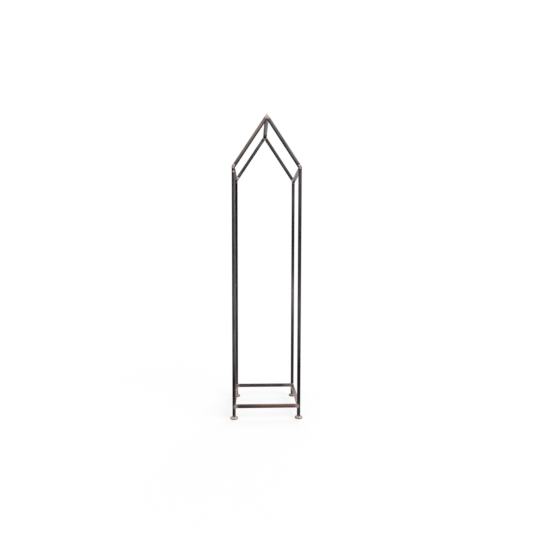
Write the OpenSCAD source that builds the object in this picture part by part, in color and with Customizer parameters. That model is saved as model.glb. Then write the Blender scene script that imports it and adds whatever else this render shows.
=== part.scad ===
// Welded garden obelisk: an open square-tube frame with a gabled top, on four round feet.
// Millimetres, +Z up. The origin is on the ground, under the centre of the frame.
// -Y is the front and -X the left side, both seen from the front.

/* [Frame] */
// Width over the outer faces of the legs
frame_w = 440; // [300:10:600]
// Depth over the outer faces of the legs
frame_d = 440; // [300:10:600]
// Height of the outer corner where a leg meets its rafter
eave_h = 1615; // [1200:5:1750]
// Height of the gable's tip
apex_h = 1942; // [1850:2:2200]

/* [Tube] */
// Outer size of the square tube
tube = 20; // [16:1:30]
// Wall of the tube
tube_wall = 1.5; // [1:0.25:2.5]
// Outer corner radius of the tube
tube_corner = 2; // [1:0.25:3]

/* [Bars] */
// Height of the base rails' centre line
rail_h = 82; // [50:1:300]
// Depth of the eave bars' top below the eave corner
eave_bar_drop = 0; // [0:1:20]
// Height of the ridge bar's lower edge over the inside corner of the gable
ridge_lift = 1; // [0:0.5:2]

/* [Feet] */
// Diameter of a foot disc
foot_d = 48; // [38:1:80]
// Thickness of a foot disc
foot_t = 12; // [9:1:16]
// Rounding of a foot disc's upper edge
foot_round = 6; // [1:0.5:6]
// Bevel of a foot disc's lower edge
foot_bevel = 1.5; // [0.5:0.5:2]

/* [Welds] */
// Leg length of the fillet welds at the bars' ends
bar_weld = 5; // [3:0.5:6]
// Leg length of the fillet weld round the bottom of a leg
foot_weld = 3; // [2:0.5:5]
// Width of a dressed weld cap on a flush joint
cap_w = 9; // [5:0.5:12]
// Height of a dressed weld cap
cap_h = 0.8; // [0.4:0.1:1.5]

/* [Hidden] */
$fn = 48;

steel = "#56524f";
bright = "#a5978c";

half_w = frame_w / 2;
half_d = frame_d / 2;
leg_x = half_w - tube / 2; // centre lines of the legs
leg_y = half_d - tube / 2;
flat = tube - 2 * tube_corner; // flat width of a tube's face
bore = tube - 2 * tube_wall;
bore_corner = max(tube_corner - tube_wall, 0.25);

roof_slope = (apex_h - eave_h) / half_w; // rise over run
roof_angle = atan(roof_slope);
rafter_l = half_w / cos(roof_angle);
rafter_v = tube / cos(roof_angle); // vertical depth of a rafter
mitre_angle = (90 - roof_angle) / 2; // fall of the eave mitre towards the inside
eave_in = eave_h - tube * tan(mitre_angle); // inside corners of the two mitres
apex_in = apex_h - rafter_v;
eave_bar_top = eave_h - eave_bar_drop;

corner_reach = (tube / 2 - tube_corner) * sqrt(2) + tube_corner; // centre line of a tube to its rounded corner
ridge_z = apex_in + ridge_lift + corner_reach; // the ridge bar lies edge down
foot_edge = min(foot_round, foot_d / 2 - corner_reach - foot_weld); // leaves the weld on the foot's flat top

weld_bulge = 0.6; // centre of a fillet's round face, as a share of its leg length, behind the corner
mitre_bead = 4; // length of the inside mitre weld along each tube

// Height of the eave mitre's plane at x, on the left side
function mitre_z(x) = eave_h - (x + half_w) * tan(mitre_angle);

// Tube

module rounded_square(size, r) {
    square([size, size - 2 * r], center = true);
    square([size - 2 * r, size], center = true);
    for (x = [-1, 1], y = [-1, 1])
        translate([x * (size / 2 - r), y * (size / 2 - r)]) circle(r);
}

module tube_length(l, center = false) {
    linear_extrude(l, center = center) difference() {
        rounded_square(tube, tube_corner);
        rounded_square(bore, bore_corner);
    }
}

// A tube along Y, and one along X, between the frame's faces
module bar_y() rotate([90, 0, 0]) tube_length(frame_d - 2 * tube, center = true);
module bar_x() rotate([0, 90, 0]) tube_length(frame_w - 2 * tube, center = true);

// An outline in X and Z, thick enough along Y to clear one tube of the front frame
module front_slab(points) {
    translate([0, -leg_y, 0]) rotate([90, 0, 0])
        linear_extrude(2 * tube, center = true) polygon(points);
}

// The front left piece stands for all four
module at_corner(side, end) {
    mirror([side > 0 ? 1 : 0, 0, 0]) mirror([0, end > 0 ? 1 : 0, 0]) children();
}

// Welds

// Slightly domed bead in a square corner, between +X and +Y
module bead_profile(l) {
    intersection() {
        square(2 * l);
        translate([-weld_bulge * l, -weld_bulge * l])
            circle(l * sqrt(pow(1 + weld_bulge, 2) + pow(weld_bulge, 2)), $fn = 96);
    }
}

module bead(length, l) linear_extrude(length, center = true) bead_profile(l);

// Low rounded cap on the X axis, bulging to +Y
module cap_profile() {
    cap_r = (pow(cap_w / 2, 2) + pow(cap_h, 2)) / (2 * cap_h);
    intersection() {
        translate([0, cap_h - cap_r]) circle(cap_r, $fn = 96);
        translate([-cap_w, 0]) square([2 * cap_w, 2 * cap_h]);
    }
}

// Pieces

module leg(side, end) {
    color(steel) at_corner(side, end) intersection() {
        translate([-leg_x, -leg_y, foot_t]) tube_length(eave_h - foot_t + tube);
        front_slab([
            [-half_w - tube, 0], [-half_w + 2 * tube, 0],
            [-half_w + 2 * tube, mitre_z(-half_w + 2 * tube)], [-half_w - tube, mitre_z(-half_w - tube)]
        ]);
    }
}

module rafter(side, end) {
    color(steel) at_corner(side, end) intersection() {
        translate([-half_w, -leg_y, eave_h]) rotate([0, -roof_angle, 0])
            translate([-2 * tube, 0, -tube / 2]) rotate([0, 90, 0]) tube_length(rafter_l + 6 * tube);
        front_slab([
            [-half_w - tube, mitre_z(-half_w - tube)], [-half_w + 2 * tube, mitre_z(-half_w + 2 * tube)],
            [0, apex_in - tube], [0, apex_h + 2 * tube], [-half_w - tube, apex_h + 2 * tube]
        ]);
    }
}

module ridge_bar() color(steel) translate([0, 0, ridge_z]) rotate([0, 45, 0]) bar_y();

module eave_bar(side) color(steel) translate([side * leg_x, 0, eave_bar_top - tube / 2]) bar_y();

module end_rail(end) color(steel) translate([0, end * leg_y, rail_h]) bar_x();

module side_rail(side) color(steel) translate([side * leg_x, 0, rail_h]) bar_y();

module foot(side, end) {
    r = foot_d / 2;
    color(bright) at_corner(side, end) translate([-leg_x, -leg_y, 0]) rotate_extrude() {
        polygon([
            [0, 0], [r - foot_bevel, 0], [r, foot_bevel],
            [r, foot_t - foot_edge], [r - foot_edge, foot_t - foot_edge], [r - foot_edge, foot_t], [0, foot_t]
        ]);
        intersection() {
            translate([r - foot_edge, foot_t - foot_edge]) circle(foot_edge);
            translate([r - foot_edge, foot_t - foot_edge]) square(foot_edge);
        }
    }
}

// Fillet all round the bottom of a leg
module foot_weld(side, end) {
    arm = tube / 2 - tube_corner;
    color(bright) at_corner(side, end) translate([-leg_x, -leg_y, foot_t])
        for (turn = [0:90:270]) rotate(turn) {
            translate([0, -tube / 2, 0]) rotate([90, 0, -90]) bead(flat, foot_weld);
            translate([arm, arm, 0]) rotate_extrude(angle = 90)
                translate([tube_corner, 0]) bead_profile(foot_weld);
        }
}

// Welds of one rail's end, round the axis of its leg: a fillet over and under the rail, and a cap
// on the outer face that also fills the groove at the leg's rounded corner
module rail_end_weld() {
    for (flip = [0, 1]) mirror([0, 0, flip])
        translate([tube / 2, 0, tube / 2]) rotate([90, 0, 0]) bead(flat, bar_weld);
    translate([tube / 2, -tube / 2, 0]) linear_extrude(flat, center = true) {
        mirror([0, 1]) cap_profile();
        difference() {
            translate([-tube_corner, 0]) square(tube_corner);
            translate([-tube_corner, tube_corner]) circle(tube_corner);
        }
    }
}

module rail_weld(side, end) {
    color(bright) at_corner(side, end) translate([-leg_x, -leg_y, rail_h]) {
        rail_end_weld();
        mirror([1, -1, 0]) rail_end_weld();
    }
}

// Cap along the mitre, bead in its inside corner, and fillets under and over the eave bar's end
module eave_weld(side, end) {
    over_x = -half_w + max(tube_corner, bar_weld / roof_slope); // the rafter backs the upper fillet from here
    over_l = -half_w + tube - tube_corner - over_x;
    color(bright) at_corner(side, end) {
        translate([-leg_x, -half_d, mitre_z(-leg_x)]) rotate([0, mitre_angle, 0]) rotate([0, -90, 180])
            linear_extrude(flat, center = true) cap_profile();
        translate([-half_w + tube, -leg_y, eave_in]) rotate([90, 0, 0]) linear_extrude(flat, center = true)
            polygon([[0, 0], [0, -mitre_bead], mitre_bead * [cos(roof_angle), sin(roof_angle)]]);
        translate([-leg_x, -half_d + tube, eave_bar_top - tube]) mirror([0, 0, 1])
            rotate([90, 0, 90]) bead(flat, bar_weld);
        translate([over_x + over_l / 2, -half_d + tube, eave_bar_top])
            rotate([90, 0, 90]) bead(over_l, bar_weld);
    }
}

// Cap up the front of the gable's mitre, and fillets under the two lower faces of the ridge bar's end
module apex_weld(end) {
    cap_top = apex_h - roof_slope * cap_w / 2 - 1; // the gable is still as wide as the cap here
    cap_bottom = apex_in + 1;
    color(bright) at_corner(-1, end) {
        translate([0, -half_d, (cap_top + cap_bottom) / 2])
            linear_extrude(cap_top - cap_bottom, center = true) mirror([0, 1]) cap_profile();
        for (turn = [-45, 45])
            translate([0, -half_d + tube, ridge_z]) rotate([0, turn, 0]) translate([0, 0, -tube / 2])
                mirror([0, 0, 1]) rotate([90, 0, 90]) bead(flat, bar_weld);
    }
}

leg(-1, -1);  // leg_front_left
leg(1, -1);  // leg_front_right
leg(-1, 1);  // leg_rear_left
leg(1, 1);  // leg_rear_right
rafter(-1, -1);  // rafter_front_left
rafter(1, -1);  // rafter_front_right
rafter(-1, 1);  // rafter_rear_left
rafter(1, 1);  // rafter_rear_right
ridge_bar();
eave_bar(-1);  // eave_bar_left
eave_bar(1);  // eave_bar_right
end_rail(-1);  // base_rail_front
end_rail(1);  // base_rail_rear
side_rail(-1);  // base_rail_left
side_rail(1);  // base_rail_right
foot(-1, -1);  // foot_front_left
foot(1, -1);  // foot_front_right
foot(-1, 1);  // foot_rear_left
foot(1, 1);  // foot_rear_right
foot_weld(-1, -1);  // foot_weld_front_left
foot_weld(1, -1);  // foot_weld_front_right
foot_weld(-1, 1);  // foot_weld_rear_left
foot_weld(1, 1);  // foot_weld_rear_right
rail_weld(-1, -1);  // rail_weld_front_left
rail_weld(1, -1);  // rail_weld_front_right
rail_weld(-1, 1);  // rail_weld_rear_left
rail_weld(1, 1);  // rail_weld_rear_right
eave_weld(-1, -1);  // eave_weld_front_left
eave_weld(1, -1);  // eave_weld_front_right
eave_weld(-1, 1);  // eave_weld_rear_left
eave_weld(1, 1);  // eave_weld_rear_right
apex_weld(-1);  // apex_weld_front
apex_weld(1);  // apex_weld_rear
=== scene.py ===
# Welded garden obelisk of dark square tube: finishes, weld beads, floor, light and camera.
import math
import bmesh
import bpy
from mathutils import Matrix, Vector, noise


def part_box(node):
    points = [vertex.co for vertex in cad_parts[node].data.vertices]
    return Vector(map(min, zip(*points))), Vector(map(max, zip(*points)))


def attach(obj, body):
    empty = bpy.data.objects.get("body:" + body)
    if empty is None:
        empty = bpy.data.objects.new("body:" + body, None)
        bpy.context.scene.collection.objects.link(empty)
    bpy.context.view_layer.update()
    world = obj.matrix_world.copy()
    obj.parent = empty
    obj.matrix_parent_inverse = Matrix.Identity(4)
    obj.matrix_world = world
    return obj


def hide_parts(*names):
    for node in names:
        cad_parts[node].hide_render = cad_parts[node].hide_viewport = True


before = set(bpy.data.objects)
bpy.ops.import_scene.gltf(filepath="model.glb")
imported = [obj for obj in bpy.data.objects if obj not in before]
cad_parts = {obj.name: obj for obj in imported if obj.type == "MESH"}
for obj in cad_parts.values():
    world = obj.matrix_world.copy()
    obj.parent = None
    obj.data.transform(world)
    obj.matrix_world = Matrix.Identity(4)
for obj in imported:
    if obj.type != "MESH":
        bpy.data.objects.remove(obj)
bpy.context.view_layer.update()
print("frame loaded:", len(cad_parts), "pieces")


# Sizes, read off the frame, but for the tube's rounded corner

tubeCorner = 0.002
legLow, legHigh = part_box("leg_front_left")
footLow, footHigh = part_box("foot_front_left")
railLow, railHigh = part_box("base_rail_front")
eaveBarLow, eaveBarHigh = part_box("eave_bar_left")
ridgeLow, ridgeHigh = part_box("ridge_bar")
ridgeMiddle = (ridgeLow.z + ridgeHigh.z) / 2
halfW = -legLow.x
halfD = -legLow.y
tube = legHigh.x - legLow.x
flat = tube - 2 * tubeCorner
eaveH = legHigh.z
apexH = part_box("rafter_front_left")[1].z
railH = (railLow.z + railHigh.z) / 2
footTop = footHigh.z
footR = (footHigh.x - footLow.x) / 2
legX = halfW - tube / 2
legY = halfD - tube / 2
roofSlope = (apexH - eaveH) / halfW
roofAngle = math.atan2(apexH - eaveH, halfW)
mitreAngle = (math.pi / 2 - roofAngle) / 2
eaveIn = eaveH - tube * math.tan(mitreAngle)
apexIn = apexH - tube / math.cos(roofAngle)
corners = {"front_left": (-1, -1), "front_right": (1, -1), "rear_left": (-1, 1), "rear_right": (1, 1)}


# Node helpers. A socket is linked, anything else is set as the input's value.

def feed(tree, socket, value):
    if isinstance(value, bpy.types.NodeSocket):
        tree.links.new(value, socket)
    elif value is not None:
        socket.default_value = value


def calc(tree, operation, a, b=None, c=None):
    node = tree.nodes.new("ShaderNodeMath")
    node.operation = operation
    for socket, value in zip(node.inputs, (a, b, c)):
        feed(tree, socket, value)
    return node.outputs[0]


def vectorCalc(tree, operation, a, b=None):
    node = tree.nodes.new("ShaderNodeVectorMath")
    node.operation = operation
    feed(tree, node.inputs[0], a)
    feed(tree, node.inputs[1], b)
    return node.outputs["Value" if operation in ("DISTANCE", "DOT_PRODUCT", "LENGTH") else "Vector"]


def scaleVector(tree, vector, scale):
    node = tree.nodes.new("ShaderNodeVectorMath")
    node.operation = "SCALE"
    feed(tree, node.inputs[0], vector)
    feed(tree, node.inputs["Scale"], scale)
    return node.outputs[0]


# A cloud's value spread evenly about zero
def wobble(tree, value, amount):
    return calc(tree, "MULTIPLY_ADD", value, amount, -amount / 2)


def splitUp(tree, vector):
    node = tree.nodes.new("ShaderNodeSeparateXYZ")
    feed(tree, node.inputs[0], vector)
    return node.outputs


def putTogether(tree, x, y, z):
    node = tree.nodes.new("ShaderNodeCombineXYZ")
    for socket, value in zip(node.inputs, (x, y, z)):
        feed(tree, socket, value)
    return node.outputs[0]


def between(tree, value, low, high, toLow=0.0, toHigh=1.0):
    node = tree.nodes.new("ShaderNodeMapRange")
    node.interpolation_type = "SMOOTHSTEP"
    for socket, number in zip(node.inputs, (value, low, high, toLow, toHigh)):
        feed(tree, socket, number)
    return node.outputs[0]


def mixColour(tree, factor, a, b, blend="MIX"):
    node = tree.nodes.new("ShaderNodeMix")
    node.data_type = "RGBA"
    node.blend_type = blend
    feed(tree, node.inputs[0], factor)
    feed(tree, node.inputs[6], a if isinstance(a, bpy.types.NodeSocket) else (*a, 1))
    feed(tree, node.inputs[7], b if isinstance(b, bpy.types.NodeSocket) else (*b, 1))
    return node.outputs[2]


def mixNumber(tree, factor, a, b):
    node = tree.nodes.new("ShaderNodeMix")
    feed(tree, node.inputs[0], factor)
    feed(tree, node.inputs[2], a)
    feed(tree, node.inputs[3], b)
    return node.outputs[0]


def cloud(tree, place, scale, detail=3.0, roughness=0.55, stretch=None):
    if stretch:
        place = vectorCalc(tree, "MULTIPLY", place, stretch)
    node = tree.nodes.new("ShaderNodeTexNoise")
    feed(tree, node.inputs["Vector"], place)
    feed(tree, node.inputs["Scale"], scale)
    feed(tree, node.inputs["Detail"], detail)
    feed(tree, node.inputs["Roughness"], roughness)
    return node.outputs[0]


def rampOf(tree, value, stops):
    node = tree.nodes.new("ShaderNodeValToRGB")
    elements = node.color_ramp.elements
    while len(elements) < len(stops):
        elements.new(0.5)
    for element, (position, colour) in zip(elements, stops):
        element.position = position
        element.color = (*colour, 1) if hasattr(colour, "__len__") else (colour, colour, colour, 1)
    feed(tree, node.inputs[0], value)
    return node.outputs[0]


def startMaterial(name):
    material = bpy.data.materials.new(name)
    material.use_nodes = True
    tree = material.node_tree
    tree.nodes.clear()
    surface = tree.nodes.new("ShaderNodeBsdfPrincipled")
    output = tree.nodes.new("ShaderNodeOutputMaterial")
    tree.links.new(surface.outputs[0], output.inputs["Surface"])
    place = tree.nodes.new("ShaderNodeTexCoord").outputs["Object"]
    return material, tree, surface, place


def addBump(tree, surface, height, strength, distance):
    node = tree.nodes.new("ShaderNodeBump")
    node.inputs["Strength"].default_value = strength
    node.inputs["Distance"].default_value = distance
    feed(tree, node.inputs["Height"], height)
    feed(tree, surface.inputs["Normal"], node.outputs[0])


# Heat and grinding round the welds

weldHeat = {
    # Ground patches that lie alike at all four corners: the height of the joint, how far the
    # patch's middle lies in from the frame's outer faces along X and Y and over the joint, its radius
    "corner": {
        "eave": {"joint": eaveH, "in": (0.0150, 0.001), "over": 0.008, "radius": 0.0062},
        "underEave": {"joint": eaveH, "in": (tube / 2, 0), "over": -0.008, "radius": 0.0050},
        "eaveBar": {"joint": eaveH, "in": (tube / 2, tube), "over": -tube / 2, "radius": 0.0100},
        "endRail": {"joint": railH, "in": (tube, tube / 2), "over": 0, "radius": 0.0145},
        "sideRail": {"joint": railH, "in": (tube / 2, tube), "over": 0, "radius": 0.0145},
        "foot": {"joint": footTop, "in": (tube / 2, tube / 2), "over": 0, "radius": 0.0108},
        "ridge": {"joint": apexIn, "in": (halfW, tube), "over": -0.002, "radius": 0.0080},
    },
    # Patches that are there only once
    "single": {
        "frontTip": {"middle": (0.0025, -legY, apexH - 0.016), "radius": 0.0205},
        "rearTip": {"middle": (0, halfD, apexH - 0.016), "radius": 0.0160},
        "rearLeftEave": {"middle": (-legX + 0.014, halfD - tube, eaveH + 0.012), "radius": 0.0085},
        "rearRightEave": {"middle": (legX - 0.006, halfD - tube, eaveH - 0.001), "radius": 0.0085},
        "strayTouch": {"middle": (-legX + 0.002, -halfD, eaveH - 0.034), "radius": 0.0055},
    },
    "ragged": 1.15,    # how far a patch's edge wanders, against its radius
    # How dark the ring round a patch is, at shares of the whole height
    "scorch": [(0.06, 0.15), (0.2, 1.0), (0.92, 1.0), (0.96, 0.30)],
}


# Distance from the nearest patch's middle, as a share of that patch's radius
def heatGroup():
    tree = bpy.data.node_groups.new("weldHeat", "ShaderNodeTree")
    tree.interface.new_socket("Place", in_out="INPUT", socket_type="NodeSocketVector")
    tree.interface.new_socket("Reach", in_out="OUTPUT", socket_type="NodeSocketFloat")
    place = tree.nodes.new("NodeGroupInput").outputs[0]
    end = tree.nodes.new("NodeGroupOutput")
    x, y, z = splitUp(tree, place)
    folded = putTogether(tree, calc(tree, "ABSOLUTE", x), calc(tree, "ABSOLUTE", y), z)
    spots = [(place, patch["middle"], patch["radius"]) for patch in weldHeat["single"].values()]
    for patch in weldHeat["corner"].values():
        inX, inY = patch["in"]
        spots.append((folded, (halfW - inX, halfD - inY, patch["joint"] + patch["over"]), patch["radius"]))
    reaches = [calc(tree, "DIVIDE", vectorCalc(tree, "DISTANCE", where, middle), radius)
               for where, middle, radius in spots]
    nearest = reaches[0]
    for reach in reaches[1:]:
        nearest = calc(tree, "MINIMUM", nearest, reach)
    feed(tree, end.inputs[0], nearest)
    return tree


heatTree = heatGroup()


def heatReach(tree, place):
    node = tree.nodes.new("ShaderNodeGroup")
    node.node_tree = heatTree
    feed(tree, node.inputs[0], place)
    return node.outputs[0]


def heightShare(tree, place):
    return calc(tree, "DIVIDE", splitUp(tree, place)[2], apexH)


# Colour of ground metal at shares of the whole height: feet, rails, eaves and tip
groundMetal = [
    (0.008, (0.46, 0.39, 0.35)),
    (0.03, (0.33, 0.265, 0.245)),
    (0.3, (0.33, 0.265, 0.245)),
    (0.83, (0.56, 0.45, 0.41)),
    (0.93, (0.56, 0.45, 0.41)),
    (0.985, (0.52, 0.465, 0.40)),
]


# Tubes: dark rolled steel, ground bright and heat-tinted at the welds, under clear lacquer

tubeFinish = {
    "dark": (0.034, 0.0315, 0.035),
    "pale": (0.076, 0.070, 0.075),
    "brown": (0.128, 0.056, 0.046),
    "edge": (0.15, 0.135, 0.13),
    # next: colour of the painted highlight down a leg's front corner
    "wearAndHighlight": (0.58, 0.54, 0.53),
    "straw": (0.20, 0.135, 0.108),
    "tint": (0.016, 0.012, 0.013),
    "metal": 0.80,
    "bareMetal": 0.95,
    "cornerShade": (0.5, 0.5, 0.5),    # painted shade on the rounded corners, against the faces
    "rub": 0.35,                      # how far the corners are rubbed bright
    "pinholes": 0.45,
    "scratches": 0.35,                # how far the grinder's scratches show on bare metal
    "roughness": 0.32,
    "bareRoughness": 0.26,
    "lacquerRoughness": 0.22,
    "relief": 0.0004,
    "brightestTone": 4,               # the highest tone in the list below
}

# Along each tube, from its low, left or front end: how light it is, which paints in the light, shade
# and reflections along it as well as its own tone; how rusty; and painted side light, how much lighter
# its right or upper edge is than its middle. On a rafter "upper" is the inner edge.
# Hue multiplies the rolled skin's colour; well above 1, on the side rails, eave bars and ridge bar, it
# also paints in light. A painted highlight runs down one front corner of two legs: which corner, 1 for
# the right one and -1 for the left, and how bright.
# Shine is how far the metal brightens at a glancing angle, lacquer how thick the clear coat lies.
tubeLooks = {
    "leg_front_left": {
        "tone": [(0, 0.8), (0.04, 0.6), (0.1, 0.25), (0.16, 0.2), (0.22, 0.85), (0.34, 1.45), (0.44, 1.0),
                 (0.54, 1.15), (0.63, 0.65), (0.73, 0.95), (0.85, 0.9), (1, 0.75)],
        "rust": [(0, 0.1), (0.1, 0.12), (0.3, 0.0), (1, 0.05)],
        "paintedSideLight": [(0, 0.95), (1, 0.95)],
        "wearAndHighlight": (1, [(0, 0.05), (0.2, 0.15), (0.5, 0.28), (1, 0.3)]),
        "hue": (0.98, 0.98, 1.06), "shine": 0.02, "lacquer": 0.0,
    },
    "leg_front_right": {
        "tone": [(0, 0.7), (0.04, 0.5), (0.1, 0.25), (0.2, 0.2), (0.3, 0.85), (0.42, 1.15), (0.55, 0.75),
                 (0.7, 0.5), (0.85, 1.0), (1, 1.3)],
        "rust": [(0, 0.08), (1, 0.03)],
        "paintedSideLight": [(0, 0.0), (0.4, 0.25), (0.6, 0.0), (0.85, 0.0), (0.95, 0.5)],
        "hue": (0.97, 1.02, 1.05), "shine": 0.02, "lacquer": 0.0,
    },
    "leg_rear_left": {
        "tone": [(0, 1.1), (0.07, 1.2), (0.18, 0.7), (0.3, 0.5), (0.41, 0.75), (0.53, 0.65), (0.64, 0.42),
                 (0.75, 0.32), (0.87, 0.24), (1, 0.18)],
        "rust": [(0, 0.1), (1, 0.02)],
        "paintedSideLight": [(0, -0.2), (0.5, -0.5), (1, -0.7)],
        "wearAndHighlight": (-1, [(0, 0.4), (0.2, 1.0), (1, 1.0)]),
        "hue": (1.0, 1.0, 1.0), "shine": 0.02, "lacquer": 0.0,
    },
    "leg_rear_right": {
        "tone": [(0, 1.1), (0.12, 0.5), (0.24, 0.5), (0.38, 1.1), (0.5, 2.9), (0.56, 1.0), (0.7, 0.45),
                 (0.84, 0.5), (0.91, 1.1), (1, 0.8)],
        "rust": [(0, 0.05), (0.42, 0.1), (0.48, 0.6), (0.54, 0.5), (0.6, 0.05), (1, 0.03)],
        "paintedSideLight": [(0, 0.35), (0.4, 0.2), (0.55, -0.2), (1, 0.0)],
        "hue": (0.98, 1.02, 1.03), "shine": 0.02, "lacquer": 0.0,
    },
    "rafter_front_left": {
        "tone": [(0, 2.3), (0.55, 2.6), (0.66, 3.9), (0.9, 4.0), (1, 3.6)],
        "rust": [(0, 0.34), (1, 0.34)],
        "paintedSideLight": [(0, -0.9), (1, -0.85)],
        "hue": (1.17, 1.1, 0.91), "shine": 0.02, "lacquer": 0.0,
    },
    "rafter_front_right": {
        "tone": [(0, 2.1), (1, 2.0)],
        "rust": [(0, 0.12), (0.3, 0.05), (1, 0.03)],
        "paintedSideLight": [(0, -0.9), (1, -0.9)],
        "hue": (1.02, 1.02, 0.99), "shine": 0.02, "lacquer": 0.0,
    },
    "rafter_rear_left": {
        "tone": [(0, 2.4), (0.14, 1.8), (0.22, 1.1), (0.6, 1.2), (0.72, 1.8), (0.84, 3.9), (0.9, 0.5),
                 (1, 0.2)],
        "rust": [(0, 0.3), (0.15, 0.2), (0.25, 0.05), (0.6, 0.1), (0.85, 0.5), (0.92, 0.3), (1, 0.2)],
        "paintedSideLight": [(0, -0.1), (0.8, 0.0), (1, 0.8)],
        "hue": (1.0, 1.04, 1.02), "shine": 0.02, "lacquer": 0.0,
    },
    "rafter_rear_right": {
        "tone": [(0, 1.8), (0.2, 1.1), (0.5, 1.35), (0.86, 1.5), (0.93, 0.8), (1, 0.3)],
        "rust": [(0, 0.02), (0.7, 0.03), (0.85, 0.45), (1, 0.2)],
        "paintedSideLight": [(0, -0.6), (0.9, -0.6), (1, 0.4)],
        "hue": (0.99, 1.03, 1.0), "shine": 0.02, "lacquer": 0.0,
    },
    "base_rail_front": {
        "tone": [(0, 0.35), (0.3, 0.35), (0.5, 0.6), (0.8, 1.2), (1, 2.4)],
        "rust": [(0, 0.12), (0.22, 0.2), (0.32, 0.6), (0.6, 0.95), (0.9, 0.95), (1, 0.8)],
        "paintedSideLight": [(0, 0.95), (0.3, 0.9), (0.4, 0.7), (1, 0.6)],
        "hue": (1.08, 1.0, 0.96), "shine": 0.5, "lacquer": 0.2,
    },
    "base_rail_rear": {
        "tone": [(0, 0.85), (0.3, 1.05), (0.7, 0.9), (0.82, 0.9), (0.9, 2.2), (1, 2.4)],
        "rust": [(0, 0.15), (1, 0.12)],
        "paintedSideLight": [(0, 0.2), (0.3, 0.3), (0.7, 0.5), (0.85, 0.8), (1, 0.3)],
        "hue": (1.03, 1.0, 1.04), "shine": 0.12, "lacquer": 0.0,
    },
    "base_rail_left": {
        "tone": [(0, 0.7), (0.2, 0.8), (0.4, 1.4), (0.58, 3.9), (1, 4.0)],
        "rust": [(0, 0.25), (1, 0.15)],
        "paintedSideLight": [(0, 0.0), (0.6, 0.0), (0.75, 0.6), (1, 0.6)],
        "hue": (1.7, 1.40, 1.34), "shine": 1.0, "lacquer": 0.3,
    },
    "base_rail_right": {
        "tone": [(0, 1.8), (0.25, 1.8), (0.45, 2.2), (0.6, 2.4), (0.8, 2.4), (1, 3.0)],
        "rust": [(0, 0.25), (1, 0.15)],
        "paintedSideLight": [(0, 0.7), (0.25, 0.6), (0.42, 0.0), (0.58, -0.5), (0.8, -0.3), (1, 0.0)],
        "hue": (1.7, 1.40, 1.34), "shine": 1.0, "lacquer": 0.2,
    },
    "ridge_bar": {
        "tone": [(0, 4.0), (0.2, 3.4), (0.6, 3.8), (0.72, 3.4), (0.79, 1.2), (0.85, 0.25), (1, 0.02)],
        "rust": [(0, 0.08), (1, 0.0)],
        "paintedSideLight": [(0, 0.3), (0.2, 0.65), (0.85, 0.7), (1, 0.5)],
        "hue": (1.5, 1.47, 1.46), "shine": 0.3, "lacquer": 0.05,
    },
    "eave_bar_left": {
        "tone": [(0, 1.4), (0.2, 2.0), (0.45, 2.4), (0.6, 3.4), (0.75, 4.0), (0.9, 2.4), (1, 1.6)],
        "rust": [(0, 0.2), (0.8, 0.15), (1, 0.1)],
        "paintedSideLight": [(0, -0.8), (0.6, -0.8), (0.78, 0.2), (0.9, 0.95), (1, 0.95)],
        "hue": (1.2, 1.06, 1.08), "shine": 0.35, "lacquer": 0.3,
    },
    "eave_bar_right": {
        "tone": [(0, 2.3), (0.15, 2.2), (0.3, 1.8), (0.45, 2.4), (0.6, 3.1), (0.75, 3.7), (0.9, 4.0),
                 (1, 3.6)],
        "rust": [(0, 0.12), (1, 0.08)],
        "paintedSideLight": [(0, 0.1), (0.3, -0.1), (0.45, 0.1), (0.6, 0.45), (0.75, 0.68), (0.9, 0.92), (1, 0.95)],
        "hue": (1.24, 1.14, 1.09), "shine": 0.85, "lacquer": 0.35,
    },
}


# Middle of a tube, its direction, the direction across it, and its length
def tubeAxis(name):
    low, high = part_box(name)
    middle = (low + high) / 2
    if name.startswith("rafter"):
        side, end = corners[name[len("rafter_"):]]
        along = Vector((-side * math.cos(roofAngle), 0, math.sin(roofAngle)))
        inward = Vector((-side * math.sin(roofAngle), 0, -math.cos(roofAngle)))
        outerMiddle = Vector((side * halfW / 2, end * legY, (eaveH + apexH) / 2))
        return outerMiddle + inward * tube / 2, along, inward, halfW / math.cos(roofAngle)
    size = high - low
    longest = max(range(3), key=lambda i: size[i])
    along = Vector([1.0 if i == longest else 0.0 for i in range(3)])
    across = Vector((1, 0, 0)) if longest == 2 else Vector((0, 0, 1))
    if name == "ridge_bar":
        across = Vector((1, 0, 1)).normalized()    # it lies edge down
    return middle, along, across, size[longest]


# Rolled skin between dark and pale, with pinholes
def rolledSkin(tree, local, paleness):
    skin = mixColour(tree, paleness, tubeFinish["dark"], tubeFinish["pale"])
    pinholes = between(tree, cloud(tree, local, 1.0, 2.0, 0.5, (420, 420, 420)), 0.66, 0.74)
    return mixColour(tree, calc(tree, "MULTIPLY", pinholes, tubeFinish["pinholes"]), skin, tubeFinish["tint"])


# The skin toned along the tube, with painted side light across it and rust bloom. The tone along the
# tube paints in the light, shade and reflections that fall on it as well as the steel's own tone.
# Sideways is 0 on the tube's middle line and 2 or -2 at its edges.
def paintedLightAndRust(tree, skin, looks, local, along, sideways):
    brightest = tubeFinish["brightestTone"]
    tone = rampOf(tree, along, [(share, level / brightest) for share, level in looks["tone"]])
    tone = calc(tree, "MULTIPLY", tone, brightest)
    paintedSideLight = rampOf(tree, along, [(share, level / 2 + 0.5) for share, level in looks["paintedSideLight"]])
    paintedSideLight = calc(tree, "MULTIPLY_ADD", calc(tree, "SUBTRACT", paintedSideLight, 0.5), sideways, 1.0)
    hued = vectorCalc(tree, "MULTIPLY", skin, looks["hue"])
    paintedLightTone = scaleVector(tree, hued, calc(tree, "MULTIPLY", tone, paintedSideLight))
    brown = scaleVector(tree, tubeFinish["brown"], paintedSideLight)
    bloom = between(tree, cloud(tree, local, 1.0, 4.0, 0.6, (30, 110, 110)), 0.30, 0.62, 0.3, 1.0)
    return mixColour(tree, calc(tree, "MULTIPLY", rampOf(tree, along, looks["rust"]), bloom), paintedLightTone, brown)


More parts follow.
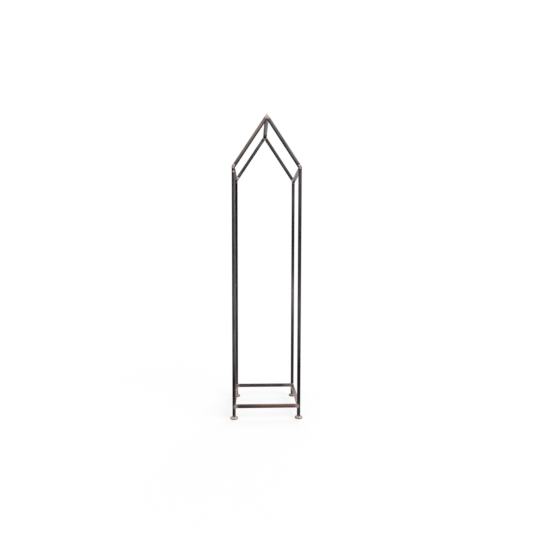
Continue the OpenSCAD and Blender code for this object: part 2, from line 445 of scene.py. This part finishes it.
# Painted shade on the rounded corners, which are also rubbed bright in streaks
def shadedRubbedCorners(tree, skin, fromMiddle, streaks):
    corner = between(tree, fromMiddle, tube * 0.38, tube * 0.44)
    skin = mixColour(tree, corner, skin, tubeFinish["cornerShade"], "MULTIPLY")
    rubbed = between(tree, fromMiddle, tube * 0.42, tube * 0.46, 0.0, tubeFinish["rub"])
    rubbed = calc(tree, "MULTIPLY", rubbed, between(tree, streaks, 0.46, 0.62))
    return mixColour(tree, rubbed, skin, tubeFinish["edge"])


# Painted highlight down one front corner of a leg. U runs to the right of the leg and v to its back.
def paintedCornerHighlight(tree, skin, looks, u, v, fromMiddle, streaks, along):
    side, level = looks["wearAndHighlight"]
    wearAndHighlight = between(tree, fromMiddle, tube * 0.36, tube * 0.41)
    wearAndHighlight = calc(tree, "MULTIPLY", wearAndHighlight, rampOf(tree, along, level))
    wearAndHighlight = calc(tree, "MULTIPLY", wearAndHighlight, between(tree, u, 0.0, side * tube * 0.3))
    wearAndHighlight = calc(tree, "MULTIPLY", wearAndHighlight, between(tree, v, 0.0, -tube * 0.3))
    wearAndHighlight = calc(tree, "MULTIPLY", wearAndHighlight, between(tree, streaks, 0.36, 0.5, 0.5, 1.0))
    return mixColour(tree, wearAndHighlight, skin, tubeFinish["wearAndHighlight"])


# Ground patch, then straw, brown and blue-black heat colours, back to the rolled skin
def heatColours(tree, skin, place, reach, scratches):
    height = heightShare(tree, place)
    scratched = between(tree, scratches, 0.35, 0.7, 0.0, tubeFinish["scratches"])
    colour = mixColour(tree, scratched, rampOf(tree, height, groundMetal), tubeFinish["straw"])
    colour = mixColour(tree, between(tree, reach, 0.95, 1.12), colour, tubeFinish["straw"])
    scorch = rampOf(tree, height, weldHeat["scorch"])
    ring = calc(tree, "MULTIPLY", between(tree, reach, 1.08, 1.32), scorch)
    colour = mixColour(tree, ring, colour, tubeFinish["tint"])
    faded = mixNumber(tree, scorch, between(tree, reach, 1.05, 1.35), between(tree, reach, 1.4, 2.3))
    return mixColour(tree, faded, colour, skin)


def makeTubeSteel(name, looks, seed):
    middle, along, across, length = tubeAxis(name)
    material, tree, surface, place = startMaterial("steel_" + name)
    offset = vectorCalc(tree, "SUBTRACT", place, middle)
    lengthwise = vectorCalc(tree, "DOT_PRODUCT", offset, along)
    u = vectorCalc(tree, "DOT_PRODUCT", offset, across)
    v = vectorCalc(tree, "DOT_PRODUCT", offset, along.cross(across))
    local = putTogether(tree, calc(tree, "ADD", lengthwise, seed * 3.7), u, v)

    # Broad patches, long drawing streaks and fine grain
    patches = cloud(tree, local, 1.0, 5.0, 0.6, (9, 60, 60))
    streaks = cloud(tree, local, 1.0, 4.0, 0.6, (14, 900, 900))
    grain = cloud(tree, local, 1.0, 3.0, 0.6, (700, 1500, 1500))
    paleness = between(tree, mixNumber(tree, 0.38, patches, streaks), 0.36, 0.66)
    share = calc(tree, "MULTIPLY_ADD", lengthwise, 1 / length, 0.5)
    share = calc(tree, "ADD", share, wobble(tree, patches, 0.08))
    # The ridge bar stands on its edge, so its own across is slanted
    sideways = vectorCalc(tree, "DOT_PRODUCT", offset, (1, 0, 0)) if name == "ridge_bar" else u
    sideways = calc(tree, "MULTIPLY", sideways, 4 / tube)

    scratches = cloud(tree, place, 1.0, 2.0, 0.5, (1900, 1900, 260))
    edgeNoise = wobble(tree, cloud(tree, place, 210.0, 4.0, 0.62), weldHeat["ragged"])
    reach = calc(tree, "ADD", heatReach(tree, place), edgeNoise)
    skin = rolledSkin(tree, local, paleness)
    skin = paintedLightAndRust(tree, skin, looks, local, share, sideways)
    fromMiddle = calc(tree, "MINIMUM", calc(tree, "ABSOLUTE", u), calc(tree, "ABSOLUTE", v))
    skin = shadedRubbedCorners(tree, skin, fromMiddle, streaks)
    if "wearAndHighlight" in looks:
        skin = paintedCornerHighlight(tree, skin, looks, u, v, fromMiddle, streaks, share)
    feed(tree, surface.inputs["Base Color"], heatColours(tree, skin, place, reach, scratches))

    bare = between(tree, reach, 1.2, 0.95)
    metal = mixNumber(tree, bare, tubeFinish["metal"], tubeFinish["bareMetal"])
    feed(tree, surface.inputs["Metallic"], metal)
    rough = calc(tree, "MULTIPLY_ADD", paleness, 0.16, tubeFinish["roughness"])
    bareRough = calc(tree, "MULTIPLY_ADD", scratches, 0.25, tubeFinish["bareRoughness"])
    feed(tree, surface.inputs["Roughness"], mixNumber(tree, bare, rough, bareRough))
    glint = [looks["shine"] * part / max(looks["hue"]) for part in looks["hue"]]
    surface.inputs["Specular IOR Level"].default_value = looks["shine"]
    surface.inputs["Specular Tint"].default_value = (*glint, 1)
    surface.inputs["Coat Weight"].default_value = looks["lacquer"]
    surface.inputs["Coat Roughness"].default_value = tubeFinish["lacquerRoughness"]
    relief = mixNumber(tree, bare, mixNumber(tree, 0.5, grain, streaks), scratches)
    addBump(tree, surface, relief, 0.35, tubeFinish["relief"])
    return material


for seed, (name, looks) in enumerate(tubeLooks.items()):
    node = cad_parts[name]
    node.data.materials.clear()
    node.data.materials.append(makeTubeSteel(name, looks, seed))
print("tubes finished:", len(tubeLooks))


# Feet: thick turned discs, bright on top from the grinder, browner down the rim

footFinish = {
    "bright": (0.62, 0.54, 0.49),
    "wearAndHighlight": (0.40, 0.33, 0.295),
    "brown": (0.145, 0.095, 0.070),
    "rim": (0.205, 0.155, 0.135),
    "edge": (0.40, 0.34, 0.30),
    "end": (0.085, 0.066, 0.060),    # painted shade on the left and right ends
    "tone": {"front_left": 1.0, "front_right": 0.9, "rear_left": 0.5, "rear_right": 0.5},
    "roundTop": 0.0060,              # depth of the rounded upper edge
    "bevel": 0.0015,                 # depth of the bevel at the ground
    "metal": 0.85,
    "roughness": 0.38,
    "lacquer": 0.15,
    "lacquerRoughness": 0.3,
    "relief": 0.0003,
}


def makeFootSteel(name, centre, tone, seed):
    material, tree, surface, place = startMaterial("steel_" + name)
    local = vectorCalc(tree, "SUBTRACT", place, centre)
    x, _, z = splitUp(tree, local)
    shifted = vectorCalc(tree, "ADD", local, (seed * 2.3, seed * 1.1, 0))
    blotches = cloud(tree, shifted, 95.0, 4.0, 0.6)
    fine = cloud(tree, shifted, 900.0, 3.0, 0.6)
    scratches = cloud(tree, shifted, 1.0, 2.0, 0.5, (260, 2600, 400))
    lift = between(tree, mixNumber(tree, 0.3, blotches, scratches), 0.36, 0.64)
    base = mixColour(tree, lift, footFinish["wearAndHighlight"], footFinish["bright"])

    # Brown halo round the leg and at the edge
    away = vectorCalc(tree, "LENGTH", vectorCalc(tree, "MULTIPLY", local, (1, 1, 0)))
    away = calc(tree, "MULTIPLY_ADD", away, 1 / footR, wobble(tree, blotches, 0.5))
    halo = rampOf(tree, away, [(0.0, 0.15), (0.5, 0.10), (0.66, 0.0), (0.8, 0.0), (1.0, 0.2)])
    base = mixColour(tree, halo, base, footFinish["brown"])

    # Rim, bevel, and painted shade on the two side ends
    wavy = calc(tree, "ADD", z, wobble(tree, blotches, 0.004))
    rimTop = footTop - 0.6 * footFinish["roundTop"]
    rimLow = footTop - 1.2 * footFinish["roundTop"]
    rimSteel = mixColour(tree, lift, footFinish["brown"], footFinish["rim"])
    base = mixColour(tree, between(tree, wavy, rimTop, rimLow, 0.0, 0.9), base, rimSteel)
    bevel = between(tree, z, 1.6 * footFinish["bevel"], 0.6 * footFinish["bevel"], 0.0, 0.5)
    base = mixColour(tree, bevel, base, footFinish["edge"])
    sideways = calc(tree, "MULTIPLY_ADD", calc(tree, "ABSOLUTE", x), 1 / footR, wobble(tree, blotches, 0.4))
    base = mixColour(tree, between(tree, sideways, 0.55, 0.92, 0.0, 0.85), base, footFinish["end"])

    feed(tree, surface.inputs["Base Color"], scaleVector(tree, base, tone))
    rough = calc(tree, "MULTIPLY_ADD", fine, 0.2, footFinish["roughness"])
    feed(tree, surface.inputs["Roughness"], rough)
    surface.inputs["Metallic"].default_value = footFinish["metal"]
    surface.inputs["Coat Weight"].default_value = footFinish["lacquer"]
    surface.inputs["Coat Roughness"].default_value = footFinish["lacquerRoughness"]
    addBump(tree, surface, mixNumber(tree, 0.5, scratches, fine), 0.4, footFinish["relief"])
    return material


for seed, (corner, (side, end)) in enumerate(corners.items()):
    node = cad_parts["foot_" + corner]
    centre = (side * legX, end * legY, 0)
    node.data.materials.clear()
    node.data.materials.append(makeFootSteel("foot_" + corner, centre, footFinish["tone"][corner], seed))
print("feet finished:", len(corners))


# Weld beads: rippled fillets and low caps, drawn along the lines where the tubes meet

weldShape = {
    "pitch": 0.0019,         # length of one ripple
    "ripple": 0.00022,       # how far a ripple stands up
    "lead": 0.55,            # how far a ripple's middle runs ahead of its ends, in pitches
    "uneven": 0.10,          # wander of the bead's width, as a share of it
    "bulge": 0.6,            # centre of a fillet's round face behind its corner, as a share of its leg
    "ringsPerRipple": 5,
    "across": 12,            # steps across a bead's face
    "sunk": 0.00025,         # how deep a bead's back lies in the tubes
    "capWidth": 0.009,
    "capRipple": 0.35,       # ripples left on a dressed cap, as a share
    "mitreBead": 0.0038,     # reach of the bead inside an eave mitre along each tube
    "rearEaveDark": 1.0,    # how dark the beads under the rear eaves are
    "mitreCapBurnt": (0.5, 0.7),
    "tipCapBurnt": (0.9, -0.4),
}
railWeldLow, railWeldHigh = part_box("rail_weld_front_left")
footWeldLow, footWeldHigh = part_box("foot_weld_front_left")
barWeld = (railWeldHigh.z - railWeldLow.z - tube) / 2
footWeld = footWeldHigh.z - footWeldLow.z
capHeight = -halfW - railWeldLow.x


def ringCount(length):
    return round(length / weldShape["pitch"] * weldShape["ringsPerRipple"])


def unevenAt(along, seed):
    return noise.noise(Vector((along * 300, seed * 7.31, 0.5)))


def rippleAt(along, u, seed):
    ahead = weldShape["lead"] * (1 - u * u)
    phase = along / weldShape["pitch"] - ahead + 0.35 * unevenAt(along * 0.7, seed + 40)
    saw = phase - math.floor(phase)
    return math.sin(math.pi * saw ** 0.6)


def roundedEnd(along, length, reach):
    near = min(along, length - along) / reach
    return 1.0 if near >= 1 else max(0.12, math.sqrt(max(0.0, 1 - (1 - near) ** 2)))


def filletOutline(along, u, leg, grow, seed):
    size = leg * grow * (1 + weldShape["uneven"] * unevenAt(along, seed))
    bulge = weldShape["bulge"]
    radius = size * math.hypot(1 + bulge, bulge)
    first = math.atan2(bulge, 1 + bulge)
    turn = first + (math.pi / 2 - 2 * first) * (u + 1) / 2
    radius += weldShape["ripple"] * grow * rippleAt(along, u, seed) * (1 - u ** 4)
    return radius * math.cos(turn) - bulge * size, radius * math.sin(turn) - bulge * size


def capOutline(along, u, height, grow, seed):
    width = weldShape["capWidth"] * (0.4 + 0.6 * grow) * (1 + weldShape["uneven"] * unevenAt(along, seed))
    ripple = weldShape["ripple"] * weldShape["capRipple"] * grow
    rise = height * grow * (1 - abs(u) ** 2.4)
    rise += ripple * (rippleAt(along, u, seed) - 0.7) * (1 - u ** 4)
    return u * width / 2, rise


class BeadMesh:
    def __init__(self):
        self.bm = bmesh.new()
        self.oxide = self.bm.verts.layers.float.new("oxide")

    def ring(self, outline, back, origin, axisA, axisB, along, size, grow, seed, burnt=0.0):
        ring = []
        for step in range(weldShape["across"] + 1):
            u = 2 * step / weldShape["across"] - 1
            a, b = outline(along, u, size, grow, seed)
            vert = self.bm.verts.new(origin + axisA * a + axisB * b)
            valley = 1 - rippleAt(along, u, seed)
            vert[self.oxide] = min(1.0, burnt + 0.75 * valley ** 2 + 0.8 * abs(u) ** 6)
            ring.append(vert)
        for a, b in back(ring):
            vert = self.bm.verts.new(origin + axisA * a + axisB * b)
            vert[self.oxide] = 1.0
            ring.append(vert)
        return ring

    def join(self, rings, closed):
        count = len(rings[0])
        pairs = list(zip(rings, rings[1:])) + ([(rings[-1], rings[0])] if closed else [])
        for one, two in pairs:
            for i in range(count):
                k = (i + 1) % count
                face = self.bm.faces.new((one[i], one[k], two[k], two[i]))
                face.smooth = i < weldShape["across"]
            for i in (0, weldShape["across"]):
                self.bm.edges.get((one[i], two[i])).smooth = False
        if not closed:
            self.bm.faces.new(rings[0])
            self.bm.faces.new(rings[-1])


def filletBack(ring):
    return [(-weldShape["sunk"], -weldShape["sunk"])]


def capBack(ring):
    half = (ring[-1].co - ring[0].co).length / 2
    return [(half, -4 * weldShape["sunk"]), (-half, -4 * weldShape["sunk"])]


# Burnt gives how scorched the bead is at its start and at its end
def addBead(beads, start, end, axisA, axisB, size, seed, kind="fillet", burnt=(0.0, 0.0)):
    start, end, axisA, axisB = Vector(start), Vector(end), Vector(axisA), Vector(axisB)
    length = (end - start).length
    outline, back = (filletOutline, filletBack) if kind == "fillet" else (capOutline, capBack)
    reach = size * 0.8 if kind == "fillet" else weldShape["capWidth"] * 0.35
    count = ringCount(length)
    rings = []
    for step in range(count + 1):
        along = length * step / count
        origin = start.lerp(end, step / count)
        grow = roundedEnd(along, length, reach)
        scorched = burnt[0] + (burnt[1] - burnt[0]) * step / count
        rings.append(beads.ring(outline, back, origin, axisA, axisB, along, size, grow, seed, scorched))
    beads.join(rings, False)


# Bead in the obtuse inside corner of an eave mitre, across the flat of the tubes
def addCornerBead(beads, corner, side, seed):
    reach = weldShape["mitreBead"]
    up = Vector((0, 0, 1))
    upRafter = Vector((-side * math.cos(roofAngle), 0, math.sin(roofAngle)))
    inward = Vector((-side, 0, 0))
    count = ringCount(flat)

    def outline(along, u, size, grow, seed):
        point = (-up * reach * grow).lerp(upRafter * reach * grow, (u + 1) / 2)
        swell = 0.35 * reach * grow * (1 - u * u) * (1 + weldShape["uneven"] * unevenAt(along, seed))
        ripple = weldShape["ripple"] * grow * rippleAt(along, u, seed) * (1 - u ** 4)
        point += inward * (swell + ripple)
        return point.dot(inward), point.z

    def back(ring):
        return [(-weldShape["sunk"], 0.0)]

    rings = []
    for step in range(count + 1):
        along = flat * step / count
        origin = Vector(corner) + Vector((0, along - flat / 2, 0))
        grow = roundedEnd(along, flat, reach * 0.6)
        rings.append(beads.ring(outline, back, origin, inward, up, along, reach, grow, seed, 0.3))
    beads.join(rings, False)


# Closed fillet round a square tube that stands on a flat face
def addRing(beads, centre, half, corner, size, seed):
    straight = 2 * (half - corner)
    arc = math.pi / 2 * (corner + size / 2)
    side = straight + arc
    count = ringCount(4 * side)
    rings = []
    for step in range(count):
        along = 4 * side * step / count
        quarter, rest = divmod(along, side)
        turn = Matrix.Rotation(quarter * math.pi / 2, 3, "Z")
        if rest < straight:
            outward = Vector((1, 0, 0))
            point = Vector((half, rest - straight / 2, 0))
        else:
            angle = (rest - straight) / arc * math.pi / 2
            outward = Vector((math.cos(angle), math.sin(angle), 0))
            point = Vector((half - corner, half - corner, 0)) + outward * corner
        origin = Vector(centre) + turn @ point
        rings.append(beads.ring(filletOutline, filletBack, origin, turn @ outward, Vector((0, 0, 1)),
                                along, size, 1.0, seed))
    beads.join(rings, True)


weldFinish = {
    "oxide": (0.10, 0.066, 0.050),
    "straw": (0.30, 0.215, 0.150),
    "tinge": 0.5,      # how far straw shows on the bright metal
    "metal": 0.92,
    "roughness": 0.22,
    "lacquer": 0.4,
    "lacquerRoughness": 0.2,
    "relief": 0.0002,
}


def makeWeldMetal():
    material, tree, surface, place = startMaterial("weldMetal")
    oxide = tree.nodes.new("ShaderNodeAttribute")
    oxide.attribute_name = "oxide"
    fine = cloud(tree, place, 1500.0, 2.0, 0.5)
    tinge = between(tree, cloud(tree, place, 260.0, 3.0, 0.6), 0.42, 0.66, 0.0, weldFinish["tinge"])
    bright = rampOf(tree, heightShare(tree, place), groundMetal)
    base = mixColour(tree, tinge, bright, weldFinish["straw"])
    dirt = calc(tree, "MULTIPLY", oxide.outputs["Fac"], calc(tree, "MULTIPLY_ADD", fine, 0.5, 0.45))
    feed(tree, surface.inputs["Base Color"], mixColour(tree, dirt, base, weldFinish["oxide"]))
    rough = calc(tree, "MULTIPLY_ADD", fine, 0.2, weldFinish["roughness"])
    feed(tree, surface.inputs["Roughness"], rough)
    surface.inputs["Metallic"].default_value = weldFinish["metal"]
    surface.inputs["Coat Weight"].default_value = weldFinish["lacquer"]
    surface.inputs["Coat Roughness"].default_value = weldFinish["lacquerRoughness"]
    addBump(tree, surface, fine, 0.3, weldFinish["relief"])
    return material


weldMetal = makeWeldMetal()


def finishBeads(beads, name, node):
    bmesh.ops.recalc_face_normals(beads.bm, faces=beads.bm.faces)
    mesh = bpy.data.meshes.new(name)
    beads.bm.to_mesh(mesh)
    beads.bm.free()
    piece = bpy.data.objects.new(name, mesh)
    bpy.context.scene.collection.objects.link(piece)
    mesh.materials.append(weldMetal)
    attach(piece, "root")
    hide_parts(node)


def makeFootBead(corner, side, end, seed):
    beads = BeadMesh()
    addRing(beads, (side * legX, end * legY, footTop), tube / 2, tubeCorner, footWeld, seed)
    finishBeads(beads, "foot_bead_" + corner, "foot_weld_" + corner)


# Over, under and on the outer face of the two rails' ends at a leg
def makeRailBeads(corner, side, end, seed):
    x, y = side * legX, end * legY
    joinX, joinY = side * (halfW - tube), end * (halfD - tube)
    inX, inY = (-side, 0, 0), (0, -end, 0)
    reach = flat / 2
    beads = BeadMesh()
    for flip in (1, -1):
        z = railH + flip * tube / 2
        away = (0, 0, flip)
        addBead(beads, (joinX, y - reach, z), (joinX, y + reach, z), inX, away, barWeld, seed + 10 + flip)
        addBead(beads, (x - reach, joinY, z), (x + reach, joinY, z), inY, away, barWeld, seed + 20 + flip)
    low, high = railH - reach, railH + reach
    addBead(beads, (joinX, end * halfD, low), (joinX, end * halfD, high), inX, (0, end, 0),
            capHeight, seed + 30, "cap")
    addBead(beads, (side * halfW, joinY, low), (side * halfW, joinY, high), inY, (side, 0, 0),
            capHeight, seed + 31, "cap")
    finishBeads(beads, "rail_bead_" + corner, "rail_weld_" + corner)


# Along the eave mitre, in its inside corner, and under and over the eave bar's end
def makeEaveBeads(corner, side, end, seed):
    outY, inY = Vector((0, end, 0)), (0, -end, 0)
    capFall = tubeCorner * math.tan(mitreAngle)
    outerEnd = Vector((side * (halfW - tubeCorner), end * halfD, eaveH - capFall))
    innerEnd = Vector((side * (halfW - tube + tubeCorner), end * halfD, eaveIn + capFall))
    acrossMitre = (innerEnd - outerEnd).normalized().cross(outY)
    beads = BeadMesh()
    addBead(beads, outerEnd, innerEnd, acrossMitre, outY, capHeight, seed + 50, "cap",
            weldShape["mitreCapBurnt"])
    addCornerBead(beads, (side * (halfW - tube), end * legY, eaveIn), side, seed + 55)

    x, joinY = side * legX, end * (halfD - tube)
    burnt = weldShape["rearEaveDark"] if end > 0 else 0.0
    addBead(beads, (x - flat / 2, joinY, eaveBarLow.z), (x + flat / 2, joinY, eaveBarLow.z), inY, (0, 0, -1),
            barWeld, seed + 61, burnt=(burnt, burnt))
    overStart = (side * (halfW - max(tubeCorner, barWeld / roofSlope)), joinY, eaveBarHigh.z)
    overEnd = (side * (halfW - tube + tubeCorner), joinY, eaveBarHigh.z)
    addBead(beads, overStart, overEnd, inY, (0, 0, 1), barWeld, seed + 62)
    finishBeads(beads, "eave_bead_" + corner, "eave_weld_" + corner)


# Up the gable's mitre, and under the two lower faces of the ridge bar's end
def makeTipBeads(place, end, seed):
    margin = 0.001
    capTop = apexH - roofSlope * weldShape["capWidth"] / 2 - margin
    beads = BeadMesh()
    addBead(beads, (0, end * halfD, apexIn + margin), (0, end * halfD, capTop), (1, 0, 0), (0, end, 0),
            capHeight, seed + 70, "cap", weldShape["tipCapBurnt"])
    for flip in (-1, 1):
        outward = Vector((flip, 0, -1)).normalized()
        upward = Vector((flip, 0, 1)).normalized()
        middle = Vector((0, end * (halfD - tube), ridgeMiddle)) + outward * tube / 2
        addBead(beads, middle - upward * flat / 2, middle + upward * flat / 2, (0, -end, 0), outward,
                barWeld, seed + 80 + flip)
    finishBeads(beads, "apex_bead_" + place, "apex_weld_" + place)


for seed, (corner, (side, end)) in enumerate(corners.items()):
    makeFootBead(corner, side, end, seed)
    makeRailBeads(corner, side, end, seed)
    makeEaveBeads(corner, side, end, seed)
for seed, (place, end) in enumerate((("front", -1), ("rear", 1))):
    makeTipBeads(place, end, seed)
print("weld beads made:", 3 * len(corners) + 2)


# Floor, light and camera

studio = {
    "floorColour": (0.90, 0.90, 0.90),
    "floorSize": 60,
    "floorWhite": 0.72,    # share of plain white that the camera sees over the lit floor
    "worldSoft": 0.45,
    "sunSoftness": 40,
    # Strength, and the side and height that each light comes from, in degrees
    "suns": {"keyLight": (1.6, 50, 40), "fillLight": (0.4, -40, 30), "topLight": (1.2, 165, 48)},
}


def seenOrMirrored(tree):
    rays = tree.nodes.new("ShaderNodeLightPath")
    seen = calc(tree, "MAXIMUM", rays.outputs["Is Camera Ray"], rays.outputs["Is Glossy Ray"])
    return calc(tree, "MAXIMUM", seen, rays.outputs["Is Transmission Ray"])


def makeFloor():
    mesh = bpy.data.meshes.new("floor")
    bm = bmesh.new()
    bmesh.ops.create_grid(bm, x_segments=1, y_segments=1, size=studio["floorSize"])
    bm.to_mesh(mesh)
    bm.free()
    floor = bpy.data.objects.new("floor", mesh)
    bpy.context.scene.collection.objects.link(floor)
    material, tree, surface, _ = startMaterial("paleFloor")
    surface.inputs["Base Color"].default_value = (*studio["floorColour"], 1)
    surface.inputs["Roughness"].default_value = 0.9
    surface.inputs["Specular IOR Level"].default_value = 0.0
    output = next(n for n in tree.nodes if n.type == "OUTPUT_MATERIAL")
    glow = tree.nodes.new("ShaderNodeEmission")
    blend = tree.nodes.new("ShaderNodeMixShader")
    feed(tree, blend.inputs[0], calc(tree, "MULTIPLY", seenOrMirrored(tree), studio["floorWhite"]))
    tree.links.new(surface.outputs[0], blend.inputs[1])
    tree.links.new(glow.outputs[0], blend.inputs[2])
    tree.links.new(blend.outputs[0], output.inputs["Surface"])
    mesh.materials.append(material)


def makeWorld():
    world = bpy.data.worlds.new("studio")
    world.use_nodes = True
    tree = world.node_tree
    background = next(n for n in tree.nodes if n.type == "BACKGROUND")
    background.inputs["Color"].default_value = (1, 1, 1, 1)
    feed(tree, background.inputs["Strength"], mixNumber(tree, seenOrMirrored(tree), studio["worldSoft"], 1.0))
    bpy.context.scene.world = world


def makeSun(name, strength, azimuth, elevation):
    lamp = bpy.data.lights.new(name, "SUN")
    lamp.energy = strength
    lamp.angle = math.radians(studio["sunSoftness"])
    sun = bpy.data.objects.new(name, lamp)
    sun.rotation_euler = (math.radians(90 - elevation), 0, math.radians(azimuth))
    bpy.context.scene.collection.objects.link(sun)


cameraSet = {
    "stand": (-0.0874, -2.6815, 1.0283),
    "turn": -2.007,    # degrees, to the left when positive
    "tilt": -3.359,    # degrees, upwards when positive
    "roll": 0.092,
    "lens": 26.198,
    "shift": 0.0310,
}


def makeCamera():
    lens = bpy.data.cameras.new("camera")
    lens.sensor_width = 36
    lens.lens = cameraSet["lens"]
    lens.shift_y = cameraSet["shift"]
    camera = bpy.data.objects.new("camera", lens)
    camera.matrix_world = (Matrix.Translation(cameraSet["stand"])
                           @ Matrix.Rotation(math.radians(cameraSet["turn"]), 4, "Z")
                           @ Matrix.Rotation(math.radians(90 + cameraSet["tilt"]), 4, "X")
                           @ Matrix.Rotation(math.radians(cameraSet["roll"]), 4, "Z"))
    bpy.context.scene.collection.objects.link(camera)
    bpy.context.scene.camera = camera


makeFloor()
makeWorld()
for name, (strength, azimuth, elevation) in studio["suns"].items():
    makeSun(name, strength, azimuth, elevation)
makeCamera()
bpy.context.scene.view_settings.view_transform = "Standard"
print("floor, light and camera set")
